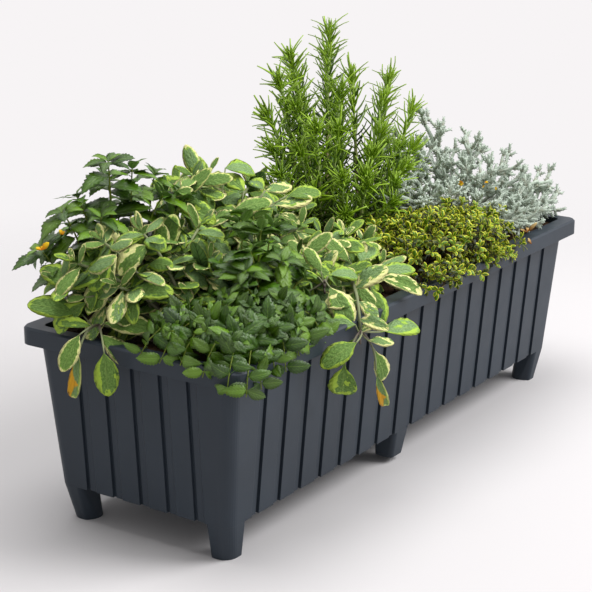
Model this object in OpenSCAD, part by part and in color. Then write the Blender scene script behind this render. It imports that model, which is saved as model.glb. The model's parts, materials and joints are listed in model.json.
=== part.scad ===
// Raised planter trough on six feet, moulded with upright planks, with its
// reservoir floor, drain plugs, potting soil and eight herbs.
// Millimetres. +X runs along the long side, -Y is the front, +Z is up.
// The origin is on the ground, under the middle of the trough.

/* [Trough] */
// Length of the trough at its foot line, outside
body_l = 800; // [700:10:1000]
// Width of the trough at its foot line, outside
body_w = 250; // [220:5:340]
// How far each end wall leans out over its full height
flare_x = 13; // [4:1:22]
// How far each long wall leans out over its full height
flare_y = 17.5; // [6:0.5:24]
// Height from the ground to the top of the rim
height = 241; // [210:1:300]
// Wall thickness at a proud plank
wall_t = 6.5; // [5.5:0.5:9]
// Floor thickness
floor_t = 4; // [3:0.5:6]
// Radius of the upright corners
corner_r = 16; // [8:1:22]

/* [Planks] */
// Distance from groove to groove on the long sides
pitch_long = 43.25; // [36:0.25:56]
// Distance from groove to groove on the ends
pitch_short = 39.65; // [34:0.05:50]
// Least width of a corner plank
corner_plank = 45; // [40:1:60]
// Width of the groove between two planks
groove_w = 3.5; // [2:0.5:5]
// Depth of the groove
groove_d = 4; // [3:0.25:4.5]
// Width of the set-back strip beside each groove
recess_w = 11; // [7:1:15]
// Depth of the set-back strip
recess_d = 2.2; // [1:0.1:2.6]

/* [Rim] */
// Distance that the rim stands out from the end walls at its lower edge
rim_out_x = 11.5; // [9:0.5:20]
// Distance that the rim stands out from the long walls at its lower edge
rim_out_y = 17; // [10:0.5:24]
// Height of the rim's outer face
rim_h = 21; // [16:1:30]
// Thickness of the rim's top and of its skirt
rim_t = 3.5; // [2.5:0.5:5]
// Chamfer along the rim's upper edge
rim_chamfer = 2.5; // [1:0.5:3]

/* [Feet] */
// Height from the ground to the underside of the trough
foot_h = 45; // [35:1:70]
// Length of a foot at its top
foot_top_l = 36; // [32:1:40]
// Width of a foot at its top
foot_top_w = 33; // [30:1:38]
// Length of a foot at the ground
foot_base_l = 29; // [24:1:32]
// Width of a foot at the ground
foot_base_w = 27; // [22:1:30]
// How far a foot draws in from the end wall at the ground
foot_draw_x = 10; // [3:1:14]
// How far a foot draws in from the long wall at the ground
foot_draw_y = 7.5; // [3:0.5:12]
// How much shorter the two middle feet are
foot_short = 8; // [0:1:12]
// Radius of the feet's inner corners
foot_r = 6; // [3:1:8]
// Radius of the peg that plugs a foot into the trough
peg_r = 7.5; // [5:0.5:8]
// Length of the peg
peg_l = 15; // [10:1:18]

/* [Reservoir] */
// Depth of the water space under the platform
reservoir_h = 38; // [30:1:60]
// Thickness of the perforated platform
platform_t = 3; // [2:0.5:5]
// Radius of a platform pillar
pillar_r = 8; // [5:0.5:11]
// Radius of a drainage hole in the platform
hole_r = 4; // [2.5:0.5:6]
// Distance from hole to hole
hole_pitch = 28; // [24:1:45]
// Radius of a wicking cup at its mouth
cup_r = 34; // [28:1:42]
// Wall thickness of a wicking cup
cup_t = 2; // [1.5:0.5:3]
// Radius of the drain hole
drain_r = 9; // [6:0.5:12]

/* [Planting] */
// Depth from the rim's top to the soil
soil_drop = 8; // [7:1:20]
// Radius of a root ball at the soil's surface
rootball_r = 42; // [34:1:44]
// Depth of a root ball
rootball_h = 90; // [60:5:105]
// Distance that leaves may hang out past the rim
spill = 26; // [15:1:60]
// Height of the rosemary above the soil
rosemary_h = 320; // [200:10:420]
// Height of the sage and the mint above the soil
bush_h = 190; // [140:5:240]
// Height of the curry plant above the soil
curry_h = 150; // [110:5:200]
// Height of the thyme above the soil
thyme_h = 88; // [70:1:120]

/* [Hidden] */

// Clearances
eps = 0.01;
peg_gap = 0.1;
plug_gap = 0.05;
fit_gap = 0.3;
leaf_gap = 0.4;
cut = 2;

// Colours
anthracite = [0.27, 0.30, 0.33];
grey_plastic = [0.40, 0.42, 0.44];
black_rubber = [0.08, 0.08, 0.08];
soil_brown = [0.20, 0.13, 0.08];
root_brown = [0.30, 0.22, 0.15];
sage_green = [0.45, 0.58, 0.35];
mint_green = [0.30, 0.55, 0.20];
rosemary_green = [0.30, 0.45, 0.22];
silver_green = [0.68, 0.74, 0.66];
thyme_green = [0.60, 0.66, 0.25];

// Heights
wall_h = height - foot_h;
floor_top = foot_h + floor_t;
rim_low = height - rim_h;
platform_z = floor_top + reservoir_h;
soil_low = platform_z + platform_t + fit_gap;
soil_top = height - soil_drop;

// Half sizes of the trough's outside at a height z
function lean(z) = (z - foot_h) / wall_h;
function out_x(z) = body_l / 2 + flare_x * lean(z);
function out_y(z) = body_w / 2 + flare_y * lean(z);
function in_x(z) = out_x(z) - wall_t;
function in_y(z) = out_y(z) - wall_t;
rim_x = out_x(rim_low) + rim_out_x;
rim_y = out_y(rim_low) + rim_out_y;
room_x = rim_x + spill;
room_y = rim_y + spill;

// Grooves per side, spread evenly about the middle
function grooves(length, pitch) = floor((length - 2 * corner_plank) / pitch) + 1;
function groove_at(i, n, pitch) = (i - (n - 1) / 2) * pitch;
// The front's middle groove lies a little right of the middle
groove_shift = 3;

// Upright pins at the corners of a rectangle, to be wrapped in a hull
module corner_pins(x, y, r, z, h = eps) {
    for (sx = [-1, 1], sy = [-1, 1])
        translate([sx * (x - r), sy * (y - r), z]) cylinder(h = h, r = r, $fn = 32);
}

// Rectangle with its corners cut at 45 degrees, to sit inside rounded corners
module cut_corners(x, y, c) {
    polygon([for (s = [1, -1]) each [
        [s * x, s * (c - y)], [s * x, s * (y - c)],
        [s * (x - c), s * y], [s * (c - x), s * y]
    ]]);
}

// Leaning block between two heights, inset from the trough's outside
module leaning_block(z0, z1, inset, r) {
    hull() {
        corner_pins(out_x(z0) - inset, out_y(z0) - inset, r, z0);
        corner_pins(out_x(z1) - inset, out_y(z1) - inset, r, z1 - eps);
    }
}

// Outline of one groove with its set-back strip on its left
module groove_outline() {
    polygon([
        [groove_w / 2, -cut], [groove_w / 2, groove_d],
        [-groove_w / 2, groove_d], [-groove_w / 2, recess_d],
        [-groove_w / 2 - recess_w + recess_d, recess_d],
        [-groove_w / 2 - recess_w, 0], [-groove_w / 2 - recess_w, -cut]
    ]);
}

// All grooves of one wall: along X, cutting towards +Y, leaning with the wall
module wall_grooves(half_w, length, pitch, flare, shift) {
    n = grooves(length, pitch);
    translate([shift, -half_w, foot_h])
        rotate([atan(flare / wall_h), 0, 0])
            translate([0, 0, -foot_h / 2])
                linear_extrude(height = wall_h + foot_h / 2)
                    for (i = [0 : n - 1])
                        translate([groove_at(i, n, pitch), 0]) groove_outline();
}

module all_grooves() {
    for (turn = [0, 180]) rotate([0, 0, turn]) {
        wall_grooves(body_w / 2, body_l, pitch_long, flare_y, groove_shift);
        mirror([1, -1, 0])
            wall_grooves(body_l / 2, body_w, pitch_short, flare_x, 0);
    }
}

// The rim rolls out from the walls' top and down to a skirt, with a finger groove under it
module rim_block(x, y, r, z0, z1) {
    hull() {
        corner_pins(x, y, r, z0, z1 - z0 - rim_chamfer);
        corner_pins(x - rim_chamfer, y - rim_chamfer, r - rim_chamfer, z1 - eps);
    }
}

module rim() {
    color(anthracite) difference() {
        rim_block(rim_x, rim_y, corner_r, rim_low, height);
        translate([0, 0, rim_low - cut])
            linear_extrude(height = rim_h - rim_t + cut)
                cut_corners(rim_x - rim_t, rim_y - rim_t, corner_r);
        leaning_block(floor_top, height + cut, wall_t, corner_r - wall_t);
    }
}

// Foot places: the middle feet stand under one plank, left of the middle groove
foot_x = body_l / 2 - foot_top_l / 2;
foot_y = body_w / 2 - foot_top_w / 2;
middle_x = groove_shift - pitch_long / 2;
socket_r = peg_r + peg_gap;
socket_l = peg_l + 1;
boss_r = socket_r + 4.5;
foot_places = [
    [-foot_x, -foot_y], [foot_x, -foot_y], [-foot_x, foot_y], [foot_x, foot_y],
    [middle_x, -foot_y], [-middle_x, foot_y]
];

// Places of the wicking cups, drain plugs and platform pillars
cup_x = 0.65 * body_l / 2;
plug_x = 0.325 * body_l / 2;
leg_y = 0.6 * in_y(floor_top);
leg_step = 0.32 * in_x(floor_top);
pillar_places = [for (i = [-2.5 : 1 : 2.5], s = [-1, 1]) [i * leg_step, s * leg_y]];

module tub() {
    color(anthracite) difference() {
        leaning_block(foot_h, height - rim_t, 0, corner_r);
        all_grooves();
        difference() {
            leaning_block(floor_top, height + cut, wall_t, corner_r - wall_t);
            for (p = foot_places)
                translate([p[0], p[1], foot_h]) cylinder(h = socket_l + floor_t, r = boss_r, $fn = 32);
        }
        for (p = foot_places)
            translate([p[0], p[1], foot_h - cut])
                cylinder(h = socket_l + cut, r = socket_r, $fn = 32);
        for (s = [-1, 1])
            translate([s * plug_x, 0, foot_h - cut])
                cylinder(h = floor_t + 2 * cut, r = drain_r, $fn = 48);
    }
}

// One foot with its outer corner at -X, -Y; top_r and base_r round that corner
module foot_block(top_r, base_r, draw_x, base_z) {
    hull() {
        translate([0, 0, foot_h - eps])
            foot_corners(foot_top_l, foot_top_w, 0, 0, top_r);
        translate([0, 0, base_z])
            foot_corners(foot_base_l, foot_base_w, draw_x, foot_draw_y, base_r);
    }
}

module foot_corners(l, w, draw_x, draw_y, r) {
    x0 = draw_x - foot_top_l / 2;
    y0 = draw_y - foot_top_w / 2;
    translate([x0 + r, y0 + r, 0]) cylinder(h = eps, r = r, $fn = 32);
    for (p = [[x0 + l, y0, -1, 1], [x0, y0 + w, 1, -1], [x0 + l, y0 + w, -1, -1]])
        translate([p[0] + p[2] * foot_r, p[1] + p[3] * foot_r, 0])
            cylinder(h = eps, r = foot_r, $fn = 32);
}

module peg() {
    translate([0, 0, foot_h - eps]) cylinder(h = peg_l + eps, r = peg_r, $fn = 32);
}

module corner_foot(sx, sy) {
    color(anthracite) {
        translate([sx * foot_x, sy * foot_y, 0]) {
            mirror([sx > 0 ? 1 : 0, 0, 0]) mirror([0, sy > 0 ? 1 : 0, 0])
                foot_block(corner_r, corner_r, foot_draw_x, 0);
            peg();
        }
    }
}

module middle_foot(turn) {
    side = (foot_top_l - foot_base_l) / 2;
    color(anthracite) rotate([0, 0, turn]) translate([middle_x, -foot_y, 0]) {
        foot_block(foot_r, foot_r, side, foot_short);
        peg();
    }
}

// Perforated platform, clear of the walls, with a hole for each cup and pillar
platform_x = in_x(platform_z) - 1;
platform_y = in_y(platform_z) - 1;
function near_any(p, places, r) = len([for (q = places) if (norm(p - q) < r) 1]) > 0;
cup_places = [[-cup_x, 0], [cup_x, 0]];
holes_x = floor((platform_x - hole_pitch / 2) / hole_pitch);
holes_y = floor((platform_y - hole_pitch / 2) / hole_pitch);

module reservoir_platform() {
    color(grey_plastic) translate([0, 0, platform_z])
        linear_extrude(height = platform_t) difference() {
            cut_corners(platform_x, platform_y, corner_r);
            for (p = cup_places) translate(p) circle(r = cup_r, $fn = 64);
            for (p = pillar_places) translate(p) circle(r = pillar_r / 2 + fit_gap, $fn = 24);
            for (i = [-holes_x : holes_x], j = [-holes_y : holes_y])
                let (p = [i * hole_pitch, j * hole_pitch])
                    if (!near_any(p, cup_places, cup_r + 2 * hole_r)
                        && !near_any(p, pillar_places, pillar_r + hole_r + 1))
                        translate(p) circle(r = hole_r, $fn = 24);
        }
}

// Pillars that carry the platform, each with a spigot in the platform's hole
module platform_pillars() {
    color(grey_plastic) for (p = pillar_places)
        translate([p[0], p[1], floor_top]) {
            cylinder(h = reservoir_h, r = pillar_r, $fn = 32);
            cylinder(h = reservoir_h + platform_t, r = pillar_r / 2, $fn = 24);
        }
}

// Slotted cup that hangs in the platform and holds soil down in the water
cup_low = floor_top + fit_gap;
cup_foot_r = 0.8 * cup_r;
cup_lip = 4;
cup_top = platform_z + platform_t;

module cup_solid(inset, z0, z1) {
    translate([0, 0, z0])
        cylinder(h = z1 - z0, r1 = cup_foot_r - inset, r2 = cup_r - fit_gap - inset, $fn = 48);
}

module wicking_cup(side) {
    slot_w = 4;
    color(grey_plastic) translate([side * cup_x, 0, 0]) difference() {
        union() {
            cup_solid(0, cup_low, cup_top);
            translate([0, 0, cup_top]) cylinder(h = cup_t, r = cup_r + cup_lip, $fn = 48);
        }
        cup_solid(cup_t, cup_low + cup_t, cup_top + cup_t + eps);
        for (a = [0 : 60 : 120])
            rotate([0, 0, a])
                translate([-cup_r - cut, -slot_w / 2, cup_low + 2 * cup_t])
                    cube([2 * (cup_r + cut), slot_w, reservoir_h / 2]);
    }
}

// Push-in plug: stem in the drain hole, flange under the floor, pull tab below
flange_t = 4;
tab_h = 8;

module drain_plug(side) {
    color(black_rubber) translate([side * plug_x, 0, 0]) {
        translate([0, 0, foot_h - eps])
            cylinder(h = floor_t + 3, r = drain_r - plug_gap, $fn = 48);
        translate([0, 0, foot_h - flange_t])
            cylinder(h = flange_t, r = drain_r + 4, $fn = 48);
        translate([-drain_r * 0.7, -1.5, foot_h - flange_t - tab_h])
            cube([drain_r * 1.4, 3, tab_h + eps]);
    }
}

// Where each herb is planted
at_sage_left = [-0.86, -0.08];
at_mint_rear = [-0.82, 0.61];
at_mint_front = [-0.71, -0.62];
at_sage_centre = [-0.40, 0.40];
at_sage_front = [-0.20, -0.56];
at_rosemary = [0.31, 0.44];
at_thyme = [0.41, -0.60];
at_curry = [0.80, 0.08];
function plant(at) = [at[0] * in_x(soil_top), at[1] * in_y(soil_top)];
plants = [
    for (at = [at_sage_left, at_mint_rear, at_mint_front, at_sage_centre,
               at_sage_front, at_rosemary, at_thyme, at_curry]) plant(at)
];

module root_cone(p, gap) {
    translate([p[0], p[1], soil_top - rootball_h - gap])
        cylinder(h = rootball_h + gap, r1 = 0.8 * rootball_r + gap, r2 = rootball_r + gap, $fn = 32);
}

module rootball(at) {
    color(root_brown) root_cone(plant(at), 0);
}

// Soil above the platform, down into both cups, with a pocket for each root ball
module wicking_soil() {
    color(soil_brown) for (p = cup_places) translate(p)
        cup_solid(cup_t + fit_gap, cup_low + cup_t + fit_gap, soil_low);
}

module potting_soil() {
    color(soil_brown) difference() {
        leaning_block(soil_low, soil_top, wall_t + fit_gap, corner_r - wall_t);
        for (p = cup_places) translate([p[0], p[1], soil_low - cut])
            difference() {
                cylinder(h = cut + cup_t, r = cup_r + cup_lip + fit_gap, $fn = 48);
                cylinder(h = 3 * cut, r = cup_r - cup_t - 2 * fit_gap, $fn = 48);
            }
        for (p = plants) translate([0, 0, eps]) root_cone(p, fit_gap);
    }
}

// Plots: each herb keeps to its own plot of the trough, in shares of the soil's
// half length and half width; plots run on past the rim, where leaves hang out
past = 1.8;
plot_a = [-past, 0.66];
plot_b = [-0.60, 0.34];
plot_c = [-0.60, past];
plot_d = [-past, -0.48];
plot_e = [-0.60, -0.20];
plot_f = [-0.36, -0.12];
plot_g = [-0.82, -past];
plot_h = [0.02, -0.10];
plot_i = [-0.08, -past];
plot_j = [-0.02, past];
plot_k = [0.55, -0.10];
plot_l = [0.60, -past];
plot_m = [0.68, past];
plot_mint_rear = [plot_a, plot_b, plot_c, [-past, past]];
plot_sage_left = [plot_d, plot_e, plot_b, plot_a];
plot_mint_front = [plot_d, [-past, -past], plot_g, plot_f, plot_e];
plot_sage_centre = [plot_e, plot_f, plot_h, plot_j, plot_c, plot_b];
plot_sage_front = [plot_f, plot_g, plot_i, plot_h];
plot_rosemary = [plot_h, plot_k, plot_m, plot_j];
plot_thyme = [plot_i, plot_l, plot_k, plot_h];
plot_curry = [plot_k, plot_l, [past, -past], [past, past], plot_m];
leaf_low = height + leaf_gap;

module plot_prism(corners, z0, z1) {
    translate([0, 0, z0]) linear_extrude(height = z1 - z0)
        offset(delta = -leaf_gap)
            polygon([for (p = corners) [p[0] * in_x(soil_top), p[1] * in_y(soil_top)]]);
}

// Room that a crown fills: above the rim, and past it only higher than the hanging leaves
ball_sides = 8;
blade_t = 3;
arm_z = height + 12;
arm_low = arm_z - blade_t * cos(180 / ball_sides);
blade_top = arm_low - fit_gap;
module growing_room() {
    translate([-rim_x, -rim_y, leaf_low]) cube([2 * rim_x, 2 * rim_y, 2 * rosemary_h]);
    translate([-room_x, -room_y, arm_low]) cube([2 * room_x, 2 * room_y, 2 * rosemary_h]);
}

// Trunk between the soil and the underside of the leaves
module trunk(at, r) {
    p = plant(at);
    translate([p[0], p[1], soil_top]) cylinder(h = leaf_low - fit_gap - soil_top, r = r, $fn = 16);
}

// A ball of leaves held inside the growing room; the lowest ones rest on its floor
function keep(v, limit) = max(-limit, min(limit, v));
function inside(p, r) =
    [keep(p[0], room_x - r), keep(p[1], room_y - r), max(p[2], leaf_low + r * cos(180 / ball_sides))];

module leaf_ball(p, r) {
    translate(inside(p, r)) sphere(r = r, $fn = ball_sides);
}

// Round body of leaves: a low ring, a raised ring and a top
module mound(at, reach, h, r, low = 0.8, high = 0.5) {
    p = plant(at);
    hull() {
        for (a = [0 : 45 : 315])
            leaf_ball([p[0] + low * reach[0] * cos(a), p[1] + low * reach[1] * sin(a), leaf_low], r);
        for (a = [30 : 60 : 330])
            leaf_ball([p[0] + high * reach[0] * cos(a), p[1] + high * reach[1] * sin(a),
                       soil_top + 0.55 * h], r);
        leaf_ball([p[0], p[1], soil_top + 0.8 * h - r], r);
    }
}

// Leafy shoots set round a stem by the golden angle, lower towards the edge; each starts
// at the share start of its height
golden = 137.5;
module shoots(at, count, reach, h, r, tip_r, turn = 0, droop = 0.5, spread = 0.45, start = 0.3) {
    p = plant(at);
    for (i = [0 : count - 1]) {
        out = sqrt((i + 0.3) / count);
        dir = [reach[0] * cos(turn + golden * i), reach[1] * sin(turn + golden * i)];
        top = soil_top + h * (1 - droop * out * out) - tip_r;
        hull() {
            leaf_ball([p[0] + spread * out * dir[0], p[1] + spread * out * dir[1],
                       start * top + (1 - start) * leaf_low], r);
            leaf_ball([p[0] + out * dir[0], p[1] + out * dir[1], top], tip_r);
        }
    }
}

// One leaf that grows over the front of the rim and hangs down outside it
module front_leaf(at, along, drop, w) {
    leaf_arm(plant(at), [along, -rim_y - leaf_out]);
    translate([along, -rim_y, 0]) hanging_blade(drop, w);
}

// The same on the left end
module left_leaf(at, along, drop, w) {
    leaf_arm(plant(at), [-rim_x - leaf_out, along]);
    translate([-rim_x, along, 0]) rotate([0, 0, -90]) hanging_blade(drop, w);
}

// The arm runs from half way to the plant's trunk, out over the rim
leaf_out = leaf_gap + 2 + blade_t / 2;
module leaf_arm(p, q) {
    half = (p + q) / 2;
    hull() {
        translate([half[0], half[1], height + 22]) sphere(r = 8, $fn = ball_sides);
        translate([q[0], q[1], arm_z]) sphere(r = blade_t, $fn = ball_sides);
    }
}

blade_sides = 10;
module blade(out, z, w) {
    translate([0, -out, z]) rotate([90, 0, 0]) cylinder(h = blade_t, r = w / 2, $fn = blade_sides);
}

// The blade hangs just clear under the arm's end
module hanging_blade(drop, w) {
    neck_w = 0.8 * w;
    hull() {
        blade(leaf_gap + 2, blade_top - neck_w / 2 * cos(180 / blade_sides), neck_w);
        blade(leaf_gap + 4, height - drop * 0.55, w);
        blade(leaf_gap + 2, height - drop + 2, 4);
    }
}

module in_plot(corners) {
    intersection() {
        children();
        plot_prism(corners, leaf_low, soil_top + 2 * rosemary_h);
        growing_room();
    }
}

module sage_left() {
    color(sage_green) {
        trunk(at_sage_left, 7);
        in_plot(plot_sage_left) {
            mound(at_sage_left, [125, 95], bush_h * 0.52, 22);
            shoots(at_sage_left, 11, [125, 90], bush_h * 0.8, 20, 18, 20);
        }
        left_leaf(at_sage_left, 48, 68, 20);
        left_leaf(at_sage_left, 4, 37, 24);
    }
}

module sage_centre() {
    color(sage_green) {
        trunk(at_sage_centre, 7);
        in_plot(plot_sage_centre) {
            mound(at_sage_centre, [150, 135], bush_h * 0.75, 24);
            shoots(at_sage_centre, 12, [150, 130], bush_h * 0.98, 20, 18, 160);
        }
    }
}

module sage_front() {
    color(sage_green) {
        trunk(at_sage_front, 7);
        in_plot(plot_sage_front) {
            mound(at_sage_front, [160, 110], bush_h * 0.36, 16);
            shoots(at_sage_front, 14, [165, 115], bush_h * 0.54, 19, 17, 60);
        }
        front_leaf(at_sage_front, -150, 133, 18);
        front_leaf(at_sage_front, -222, 74, 24);
    }
}

module mint_rear() {
    color(mint_green) {
        trunk(at_mint_rear, 5);
        in_plot(plot_mint_rear) {
            mound(at_mint_rear, [110, 105], bush_h * 0.7, 20);
            shoots(at_mint_rear, 10, [110, 110], bush_h, 18, 13, 70);
        }
    }
}

module mint_front() {
    color(mint_green) {
        trunk(at_mint_front, 5);
        in_plot(plot_mint_front) {
            mound(at_mint_front, [155, 110], bush_h * 0.46, 18);
            shoots(at_mint_front, 17, [165, 120], bush_h * 0.64, 19, 17, 200, 0.6);
        }
        front_leaf(at_mint_front, -392, 42, 30);
        front_leaf(at_mint_front, -330, 22, 26);
        left_leaf(at_mint_front, -84, 38, 26);
    }
}

// Upright needle-leaved shoots; the tallest spread over the neighbours
module rosemary() {
    free_z = leaf_low + 0.4 * rosemary_h;
    color(rosemary_green) {
        trunk(at_rosemary, 8);
        intersection() {
            union() {
                mound(at_rosemary, [115, 80], rosemary_h * 0.55, 20, 0.7, 0.7);
                shoots(at_rosemary, 19, [165, 88], rosemary_h, 23, 13, 150, 0.46, 0.4);
            }
            union() {
                plot_prism(plot_rosemary, leaf_low, free_z + 1);
                translate([-room_x, -room_y, free_z]) cube([2 * room_x, 2 * room_y, rosemary_h]);
            }
        }
    }
}

module curry_plant() {
    color(silver_green) {
        trunk(at_curry, 6);
        in_plot(plot_curry) {
            mound(at_curry, [100, 115], curry_h * 0.5, 16);
            shoots(at_curry, 18, [140, 160], curry_h, 14, 9, 0);
        }
    }
}

module thyme() {
    color(thyme_green) {
        trunk(at_thyme, 5);
        in_plot(plot_thyme) {
            mound(at_thyme, [195, 115], thyme_h * 0.9, 16);
            shoots(at_thyme, 14, [195, 125], thyme_h, 16, 10, 110, 0.35);
        }
        for (i = [0 : 4]) front_leaf(at_thyme, 10 + 46 * i, 10 + 6 * (i % 3), 18);
    }
}

tub();
rim();
corner_foot(-1, -1);  // foot_front_left
middle_foot(0);  // foot_front_middle
corner_foot(1, -1);  // foot_front_right
corner_foot(-1, 1);  // foot_rear_left
middle_foot(180);  // foot_rear_middle
corner_foot(1, 1);  // foot_rear_right
reservoir_platform();
platform_pillars();
wicking_cup(-1);  // wicking_cup_left
wicking_cup(1);  // wicking_cup_right
drain_plug(-1);  // drain_plug_left
drain_plug(1);  // drain_plug_right
wicking_soil();
potting_soil();
rootball(at_sage_left);  // rootball_sage_left
rootball(at_sage_centre);  // rootball_sage_centre
rootball(at_sage_front);  // rootball_sage_front
rootball(at_mint_rear);  // rootball_mint_rear
rootball(at_mint_front);  // rootball_mint_front
rootball(at_rosemary);  // rootball_rosemary
rootball(at_curry);  // rootball_curry_plant
rootball(at_thyme);  // rootball_thyme
sage_left();
sage_centre();
sage_front();
mint_rear();
mint_front();
rosemary();
curry_plant();
thyme();
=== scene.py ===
"""Looks of a raised planter trough: moulded plastic, soil, and eight herbs.

Lengths are in metres. The trough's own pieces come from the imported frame, and
the herbs are grown here, each rooted where the frame has its root ball.
"""

import json
import math
import random
from collections import namedtuple

import bmesh
import bpy
import numpy as np
from mathutils import Matrix, Vector


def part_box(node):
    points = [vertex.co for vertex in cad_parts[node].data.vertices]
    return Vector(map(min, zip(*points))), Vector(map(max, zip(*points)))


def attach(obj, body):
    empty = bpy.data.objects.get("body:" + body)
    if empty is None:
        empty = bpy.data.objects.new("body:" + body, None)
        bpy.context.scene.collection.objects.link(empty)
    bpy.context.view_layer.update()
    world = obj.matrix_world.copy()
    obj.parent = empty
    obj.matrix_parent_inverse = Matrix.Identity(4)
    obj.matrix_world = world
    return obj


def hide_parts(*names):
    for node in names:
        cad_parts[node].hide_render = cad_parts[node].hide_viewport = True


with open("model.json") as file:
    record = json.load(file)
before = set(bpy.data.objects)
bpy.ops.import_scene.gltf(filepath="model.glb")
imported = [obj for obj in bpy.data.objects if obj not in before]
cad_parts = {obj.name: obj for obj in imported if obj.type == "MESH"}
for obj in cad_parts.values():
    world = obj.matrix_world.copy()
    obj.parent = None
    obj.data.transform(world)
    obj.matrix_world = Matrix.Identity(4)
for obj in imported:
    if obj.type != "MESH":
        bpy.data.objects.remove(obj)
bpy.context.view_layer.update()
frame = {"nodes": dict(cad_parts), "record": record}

MM = 0.001
UP = Vector((0, 0, 1))
BODY = "planter"
ATLAS = "OFBake"
GOLDEN = math.radians(137.5)
OUTWARD = Vector((-0.83, -0.56, 0))     # the side of the trough that its herbs turn to
scene = bpy.context.scene


def mm(*values):
    """A point or vector given in millimetres."""
    return Vector(values) * MM


def places(*points):
    """Points given in millimetres."""
    return [mm(*point) for point in points]


def srgb(red, green, blue):
    """Linear colour from the 0 to 255 values of a colour chart."""
    def linear(value):
        value /= 255
        return value / 12.92 if value <= 0.04045 else ((value + 0.055) / 1.055) ** 2.4
    return (linear(red), linear(green), linear(blue), 1)


# ---------------------------------------------------------------- shader kit

def maths(operation, backwards=False):
    """A method that adds one Math node; backwards puts the other value first."""
    def method(self, other=0.0):
        values = [other, self] if backwards else [self, other]
        return self.finish.node("Math", values, operation=operation)
    return method


class Wire:
    """A shader socket that takes part in arithmetic by adding Math nodes."""

    __add__, __radd__ = maths("ADD"), maths("ADD", True)
    __sub__, __rsub__ = maths("SUBTRACT"), maths("SUBTRACT", True)
    __mul__, __rmul__ = maths("MULTIPLY"), maths("MULTIPLY", True)
    __truediv__, __abs__ = maths("DIVIDE"), maths("ABSOLUTE")
    floor, fract, sine, least = maths("FLOOR"), maths("FRACT"), maths("SINE"), maths("MINIMUM")

    def __init__(self, finish, socket):
        self.finish, self.socket = finish, socket

    def sibling(self, out):
        """Another output of the same node."""
        return Wire(self.finish, self.socket.node.outputs[out])

    def step(self, low, high):
        """0 below low, 1 above high, smooth between."""
        return self.finish.node("MapRange", {"Value": self, "From Min": low, "From Max": high},
                                interpolation_type="SMOOTHSTEP")


class Finish:
    """A material being made: one Principled shader and what feeds it."""

    def __init__(self, name, **shader):
        self.material = bpy.data.materials.new(name)
        self.material.use_nodes = True
        self.tree = self.material.node_tree
        self.shader = self.tree.nodes["Principled BSDF"]
        self.set(**shader)

    def set(self, **values):
        """Sets or links the shader's sockets, named with _ for a space."""
        for name, value in values.items():
            self._feed(self.shader.inputs[name.replace("_", " ")], value)

    def _feed(self, socket, value):
        if isinstance(value, Wire):
            self.tree.links.new(value.socket, socket)
        else:
            socket.default_value = value

    def node(self, kind, inputs=(), out=0, **settings):
        """Any node: its settings, then its sockets."""
        made = self.tree.nodes.new("ShaderNode" + kind)
        for name, value in settings.items():
            setattr(made, name, value)
        pairs = inputs.items() if isinstance(inputs, dict) else enumerate(inputs)
        for name, value in pairs:
            self._feed(made.inputs[name], value)
        return Wire(self, made.outputs[out])

    def mix(self, share, first, second):
        """Colour between two colours; share 0 gives the first."""
        return self.node("Mix", {0: share, 6: first, 7: second}, out=2, data_type="RGBA")

    def place(self):
        return self.node("TexCoord", out="Object")

    def noise(self, where, scale, detail, rough=0.5):
        return self.node("TexNoise", {"Vector": where, "Scale": scale, "Detail": detail,
                                      "Roughness": rough})

    def cells(self, where, scale):
        return self.node("TexVoronoi", {"Vector": where, "Scale": scale})

    def bump(self, height, depth, strength, under=None):
        inputs = {"Height": height, "Distance": depth, "Strength": strength}
        if under is not None:
            inputs["Normal"] = under
        return self.node("Bump", inputs)

    def leaf_map(self, rows):
        """Where a point lies on its leaf, and which leaf of the atlas it is: see Leaf."""
        uv = self.node("UVMap", uv_map=ATLAS)
        split = self.node("SeparateXYZ", [uv])
        u = split * rows
        v = split.sibling(1) * rows
        corner = self.node("CombineXYZ", [u.floor(), v.floor(), 0.0])
        dice = self.node("TexWhiteNoise", {"Vector": corner}, out="Color", noise_dimensions="3D")
        dice = self.node("SeparateColor", [dice])
        numbers = [dice.sibling(i) for i in range(3)]
        across = (u.fract() - 0.5) * (2 / CELL_FILL)
        along = (v.fract() - 0.5) / CELL_FILL + 0.5
        spot = self.node("CombineXYZ", [across + 7 * u.floor(), along * 2 + 5 * v.floor(), 0.0])
        spent = 0.5 - abs(v.floor() * rows + u.floor() - (rows * (rows - 1) - 1))
        return Leaf(across, along, spot, *numbers, age=1 - v.floor() / (rows - 1),
                    under=v.floor().step(rows - 1.6, rows - 1.4), spent=spent.step(-0.1, 0.1))


# across -1 to 1 and along 0 to 1 on the leaf, spot for patterns, three random numbers of
# the leaf, its age up to 1 for the oldest, and 1 on undersides and on the one spent leaf
Leaf = namedtuple("Leaf", "across along spot first second third age under spent")
CELL_FILL = 0.9    # share of an atlas cell that its leaf fills

# ---------------------------------------------------------------- finishes

ANTHRACITE = srgb(46, 55, 65)
ANTHRACITE_DEEP = srgb(40, 48, 57)


def moulded_plastic(name, colour, deep, roughness):
    finish = Finish(name)
    place = finish.place()
    cloud = finish.noise(place, 6.0, 4.0)
    grain = finish.noise(place, 1400.0, 2.0)
    flow = finish.noise(place, 45.0, 3.0)
    soft_edges = finish.node("Bevel", {"Radius": 0.9 * MM}, samples=6)
    finish.set(Base_Color=finish.mix(cloud.step(0.3, 0.75), deep, colour),
               Roughness=roughness + 0.12 * (flow - 0.5) + 0.06 * (grain - 0.5),
               Specular_IOR_Level=0.3,
               Normal=finish.bump(grain, 0.05 * MM, 0.5,
                                  finish.bump(flow, 0.6 * MM, 0.25, soft_edges)))
    return finish.material


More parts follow.
